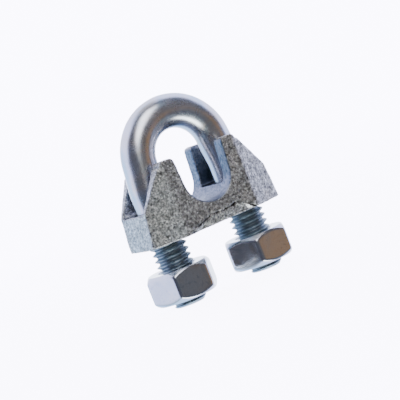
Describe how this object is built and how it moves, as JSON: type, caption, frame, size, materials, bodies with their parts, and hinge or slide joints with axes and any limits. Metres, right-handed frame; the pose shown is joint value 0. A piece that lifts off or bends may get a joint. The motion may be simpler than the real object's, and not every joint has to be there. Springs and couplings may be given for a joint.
{
  "type": "wire rope clip",
  "caption": "U-bolt wire rope clip: a threaded U-shaped bar through a cast saddle with a rope groove and four ears, held by hexagon nuts.",
  "frame": {"origin": "midway between the two leg ends, at their lowest plane", "axes": "+X across the two legs, +Y along the rope, +Z from the leg ends up to the bow"},
  "size_m": [0.0264, 0.0136, 0.0324],
  "materials": {
    "zinc_bar": "bright zinc plate on round bar, fine drawing lines",
    "zinc_casting": "zinc coat on a rough malleable iron casting, smoother in the rope groove",
    "zinc_nut": "bright zinc plate on a cold-formed nut"
  },
  "bodies": {
    "u_bolt": {"u_bolt": "zinc_bar"},
    "saddle": {"saddle": "zinc_casting"},
    "nut_left": {"hex_nut_left": "zinc_nut"},
    "nut_right": {"hex_nut_right": "zinc_nut"}
  },
  "joints": [
    {"name": "saddle_travel", "type": "slide", "parent": "u_bolt", "child": "saddle", "axis": [0, 0, 1], "range_m": [-0.001, 0.004]},
    {"name": "left_nut_turn", "type": "hinge", "parent": "saddle", "child": "nut_left", "pos_m": [-0.00745, 0, 0.0036], "axis": [0, 0, 1], "range_deg": [-360, 1440]},
    {"name": "right_nut_turn", "type": "hinge", "parent": "saddle", "child": "nut_right", "pos_m": [0.00745, 0, 0.0036], "axis": [0, 0, 1], "range_deg": [-360, 1440]}
  ],
  "couplings": [
    {"joint": "left_nut_turn", "follows": "saddle_travel", "rad_per_m": 6283.2},
    {"joint": "right_nut_turn", "follows": "saddle_travel", "rad_per_m": 6283.2}
  ]
}
